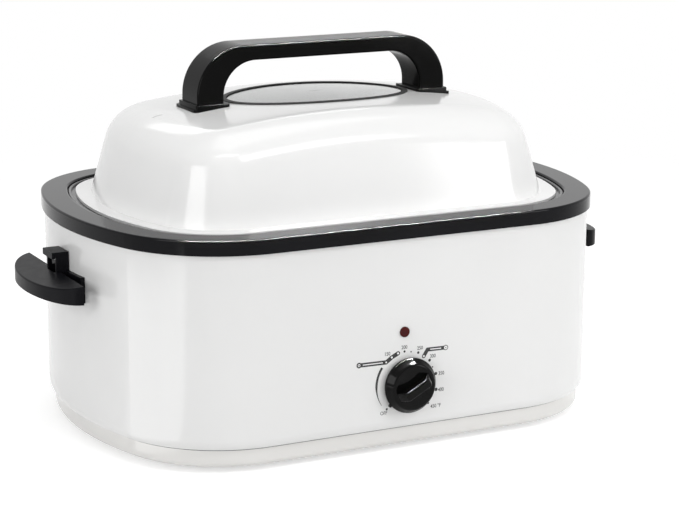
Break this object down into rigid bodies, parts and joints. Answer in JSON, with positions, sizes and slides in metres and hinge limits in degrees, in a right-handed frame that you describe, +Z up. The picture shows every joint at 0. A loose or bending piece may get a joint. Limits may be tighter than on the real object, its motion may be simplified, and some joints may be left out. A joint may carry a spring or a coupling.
{
  "type": "electric roaster oven",
  "caption": "Countertop roaster oven: oblong heated steel housing, lift-out pan and wire rack, lift-off domed lid with an oval window and a bow handle, side handles and a dial thermostat.",
  "frame": {"origin": "centre of the overall footprint, on the surface that the feet stand on", "axes": "+Z up, +X towards the right side handle, -Y towards the front with the knob"},
  "size_m": [0.6044, 0.4104, 0.3665],
  "materials": {
    "white_casing": "glossy white enamel",
    "white_base": "satin white enamel",
    "white_lid": "glossy white enamel",
    "black_rim": "gloss black moulding",
    "black_gloss": "gloss black moulding",
    "dark_enamel": "speckled dark enamel",
    "plated_steel": "zinc plated",
    "brass": "plain",
    "heater_sheath": "heat-tinted",
    "aluminium": "mill finish",
    "chrome_wire": "bright plated",
    "window_glass": "clear, polished",
    "gasket_black": "matt silicone",
    "rubber": "matt rubber",
    "moulded_dark": "moulded, heat-resistant",
    "moulded_pale": "moulded, heat-resistant",
    "lead_sleeve": "woven glass sleeve",
    "glass_fibre": "felted fibre",
    "lamp_red": "clear red",
    "lamp_body": "moulded"
  },
  "bodies": {
    "housing": {"outer_casing": "white_casing", "base_pan": "white_base", "rim": "black_rim", "rim_screws": "plated_steel", "cook_well": "dark_enamel", "heater_band": "heater_sheath", "heater_clamp": "plated_steel", "heater_terminals": "brass", "heater_leads": "lead_sleeve", "insulation_blanket": "glass_fibre", "heat_shield": "aluminium", "tie_studs": "plated_steel", "stud_spacers": "plated_steel", "stud_nuts": "plated_steel", "feet": "rubber", "foot_screws": "plated_steel", "thermostat_body": "moulded_dark", "thermostat_nut": "brass", "thermostat_terminals": "brass", "sensor_pad": "aluminium", "indicator_lens": "lamp_red", "indicator_lamp": "lamp_body", "lamp_clip": "plated_steel", "right_handle": "black_gloss", "left_handle": "black_gloss", "side_screws": "plated_steel", "side_washers": "plated_steel", "terminal_block": "moulded_pale", "block_screws": "plated_steel", "internal_leads": "lead_sleeve", "cord_gland": "moulded_dark"},
    "knob": {"knob": "black_gloss", "control_shaft": "plated_steel", "knob_clip": "plated_steel"},
    "pan": {"roasting_pan": "dark_enamel"},
    "rack": {"roasting_rack": "chrome_wire"},
    "lid": {"lid_shell": "white_lid", "window_glass": "window_glass", "window_gasket": "gasket_black", "lid_handle": "black_gloss", "grip_base_left": "black_gloss", "grip_base_right": "black_gloss", "grip_screws": "plated_steel", "grip_washers": "plated_steel"}
  },
  "joints": [
    {"name": "pan_lift", "type": "slide", "parent": "housing", "child": "pan", "axis": [0, 0, 1], "range_m": [0, 0.22]},
    {"name": "rack_lift", "type": "slide", "parent": "pan", "child": "rack", "axis": [0, 0, 1], "range_m": [0, 0.2]},
    {"name": "lid_lift", "type": "slide", "parent": "rack", "child": "lid", "axis": [0, 0, 1], "range_m": [0, 0.2]},
    {"name": "thermostat_turn", "type": "hinge", "parent": "housing", "child": "knob", "pos_m": [0.0045, -0.18375, 0.0655], "axis": [0, 1, 0], "range_deg": [0, 270]}
  ]
}
